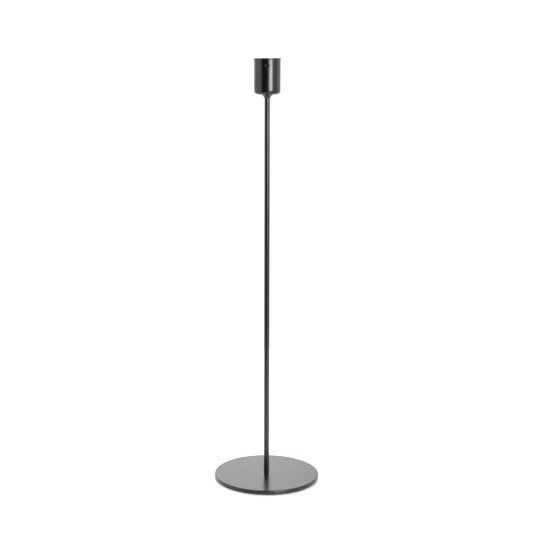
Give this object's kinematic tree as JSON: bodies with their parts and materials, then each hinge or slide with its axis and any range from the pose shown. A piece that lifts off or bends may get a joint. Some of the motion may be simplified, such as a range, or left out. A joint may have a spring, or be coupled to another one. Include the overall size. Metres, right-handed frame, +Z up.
{
  "type": "taper candle holder",
  "caption": "Slim metal candlestick: a flat round base, a thin rod and a straight cup with a flared collar and a grip screw that holds a taper candle.",
  "frame": {"origin": "centre of the felt pad's underside, on the surface that the holder stands on", "axes": "+Z up along the rod and out of the cup; the grip screw is on the -Y side"},
  "size_m": [0.1, 0.1, 0.4],
  "materials": {
    "black_lacquer": "satin black lacquer on steel",
    "black_screw": "black-oxide steel",
    "screw_steel": "zinc-plated steel",
    "felt": "self-adhesive black felt"
  },
  "bodies": {
    "holder": {"base_plate": "black_lacquer", "base_pad": "felt", "foot_screw": "screw_steel", "stem": "black_lacquer", "stem_collar": "black_lacquer", "candle_cup": "black_lacquer", "cup_washer": "screw_steel", "cup_screw": "screw_steel"},
    "grip_screw": {"grip_screw": "black_screw"}
  },
  "joints": [
    {"name": "grip_screw_travel", "type": "slide", "parent": "holder", "child": "grip_screw", "axis": [0, 1, 0], "range_m": [-0.0005, 0.0022]}
  ]
}
